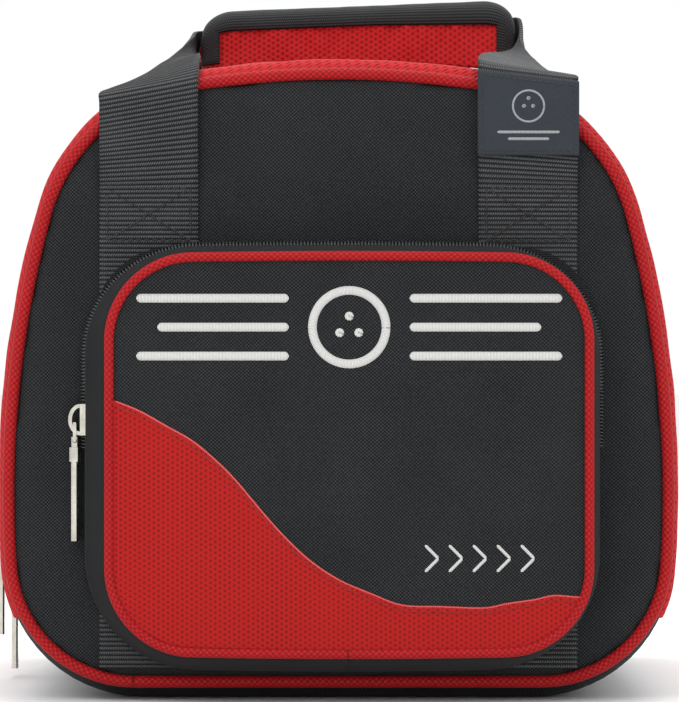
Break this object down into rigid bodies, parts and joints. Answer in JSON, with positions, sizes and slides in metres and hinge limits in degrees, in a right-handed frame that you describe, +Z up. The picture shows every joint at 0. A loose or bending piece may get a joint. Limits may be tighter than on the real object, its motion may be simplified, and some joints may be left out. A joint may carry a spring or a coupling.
{
  "type": "bowling ball bag",
  "caption": "Padded tote for one bowling ball with a zipped clamshell crown, zipped front pocket, webbing handles and a padded handle wrap.",
  "frame": {"origin": "middle of the flat base, on the surface it stands on", "axes": "+X to the bag's right seen from the front, -Y to the front, +Z up"},
  "size_m": [0.272, 0.2659, 0.2774],
  "materials": {
    "black_fabric": "woven polyester",
    "red_fabric": "woven polyester",
    "red_accent": "woven polyester, dotted",
    "red_piping": "ribbed piping",
    "black_lining": "smooth lining",
    "foam": "closed foam",
    "board": "matte",
    "webbing": "ribbed webbing",
    "zip_tape": "woven tape",
    "zip_coil": "nylon coil",
    "black_thread": "thread",
    "white_thread": "satin stitch",
    "binding": "grosgrain binding",
    "hook_and_loop": "hook and loop",
    "label": "woven label",
    "nickel": "polished"
  },
  "bodies": {
    "base": {"bottom_panel": "black_fabric", "base_board": "board", "base_pad": "black_lining", "ball_cup": "foam", "zip_end_tab_left": "webbing", "zip_end_tab_right": "webbing"},
    "front_half": {"front_panel": "black_fabric", "front_foam": "foam", "front_lining": "black_lining", "front_piping": "red_piping", "front_gusset": "red_fabric", "front_gusset_lining": "black_lining", "front_zip_tape": "zip_tape", "front_zip_coil": "zip_coil", "front_strap_legs": "webbing", "strap_stitching": "black_thread", "pocket_gusset": "black_fabric", "pocket_face_lower": "black_fabric", "pocket_accent": "red_accent", "pocket_piping_lower": "red_piping", "pocket_zip_tape_fixed": "zip_tape", "pocket_zip_coil_fixed": "zip_coil", "pocket_badge": "white_thread"},
    "rear_half": {"back_panel": "black_fabric", "back_foam": "foam", "back_lining": "black_lining", "rear_piping": "red_piping", "rear_gusset": "red_fabric", "rear_gusset_lining": "black_lining", "rear_zip_tape": "zip_tape", "rear_zip_coil": "zip_coil", "rear_strap_legs": "webbing", "front_tape_end": "zip_tape"},
    "front_handle": {"front_strap_loop": "webbing", "handle_wrap": "red_fabric", "wrap_binding": "binding", "wrap_loop_patch": "hook_and_loop", "label_patch": "label"},
    "rear_handle": {"rear_strap_loop": "webbing"},
    "wrap_flap": {"wrap_flap": "red_fabric", "wrap_flap_binding": "binding", "wrap_hook_patch": "hook_and_loop"},
    "pocket_flap": {"pocket_face_upper": "black_fabric", "pocket_piping_upper": "red_piping", "pocket_zip_tape_upper": "zip_tape", "pocket_zip_coil_upper": "zip_coil", "pocket_emblem": "white_thread"},
    "lower_slider": {"main_slider_lower": "nickel"},
    "lower_slider_link": {"main_slider_lower_link": "nickel"},
    "lower_slider_pull": {"main_slider_lower_pull": "nickel"},
    "upper_slider": {"main_slider_upper": "nickel"},
    "upper_slider_link": {"main_slider_upper_link": "nickel"},
    "upper_slider_pull": {"main_slider_upper_pull": "nickel"},
    "pocket_slider": {"pocket_slider": "nickel"},
    "pocket_slider_link": {"pocket_slider_link": "nickel"},
    "pocket_slider_pull": {"pocket_slider_pull": "nickel"}
  },
  "joints": [
    {"name": "front_half_open", "type": "hinge", "parent": "base", "child": "front_half", "pos_m": [0, -0.117, 0.0074], "axis": [1, 0, 0], "range_deg": [0, 24]},
    {"name": "rear_half_open", "type": "hinge", "parent": "base", "child": "rear_half", "pos_m": [0, 0.117, 0.0074], "axis": [-1, 0, 0], "range_deg": [0, 45]},
    {"name": "front_handle_swing", "type": "hinge", "parent": "front_half", "child": "front_handle", "pos_m": [0, -0.1228, 0.1995], "axis": [1, 0, 0], "range_deg": [0, 130]},
    {"name": "rear_handle_swing", "type": "hinge", "parent": "rear_half", "child": "rear_handle", "pos_m": [0, 0.1228, 0.1995], "axis": [-1, 0, 0], "range_deg": [0, 130]},
    {"name": "wrap_flap_open", "type": "hinge", "parent": "front_handle", "child": "wrap_flap", "pos_m": [0, -0.0189, 0.2549], "axis": [1, 0, 0], "range_deg": [0, 90]},
    {"name": "pocket_flap_open", "type": "hinge", "parent": "front_half", "child": "pocket_flap", "pos_m": [0, -0.1422, 0.119], "axis": [1, 0, 0], "range_deg": [0, 60]},
    {"name": "main_slider_lower_run", "type": "hinge", "parent": "rear_half", "child": "lower_slider", "pos_m": [0.2827, 0, 0.08], "axis": [0, 1, 0], "range_deg": [0, 7]},
    {"name": "main_slider_upper_run", "type": "hinge", "parent": "lower_slider", "child": "upper_slider", "pos_m": [0.2827, 0, 0.08], "axis": [0, 1, 0], "range_deg": [0, 6]},
    {"name": "pocket_slider_run", "type": "slide", "parent": "front_half", "child": "pocket_slider", "axis": [0, 0, 1], "range_m": [0, 0.028]},
    {"name": "lower_slider_link_swing", "type": "hinge", "parent": "lower_slider", "child": "lower_slider_link", "pos_m": [-0.13363, 0.0031, 0.04868], "axis": [0, 1, 0], "range_deg": [0, 100]},
    {"name": "lower_slider_pull_swing", "type": "hinge", "parent": "lower_slider_link", "child": "lower_slider_pull", "pos_m": [-0.13363, 0.0031, 0.04208], "axis": [0, 1, 0], "range_deg": [0, 70]},
    {"name": "upper_slider_link_swing", "type": "hinge", "parent": "upper_slider", "child": "upper_slider_link", "pos_m": [-0.13439, -0.0031, 0.06151], "axis": [0, 1, 0], "range_deg": [0, 60]},
    {"name": "upper_slider_pull_swing", "type": "hinge", "parent": "upper_slider_link", "child": "upper_slider_pull", "pos_m": [-0.13872, -0.0031, 0.05653], "axis": [0, 1, 0], "range_deg": [0, 70]},
    {"name": "pocket_slider_link_swing", "type": "hinge", "parent": "pocket_slider", "child": "pocket_slider_link", "pos_m": [-0.1013, -0.123, 0.107], "axis": [0, 1, 0], "range_deg": [0, 110]},
    {"name": "pocket_slider_pull_swing", "type": "hinge", "parent": "pocket_slider_link", "child": "pocket_slider_pull", "pos_m": [-0.1013, -0.123, 0.1004], "axis": [0, 1, 0], "range_deg": [0, 70]}
  ]
}
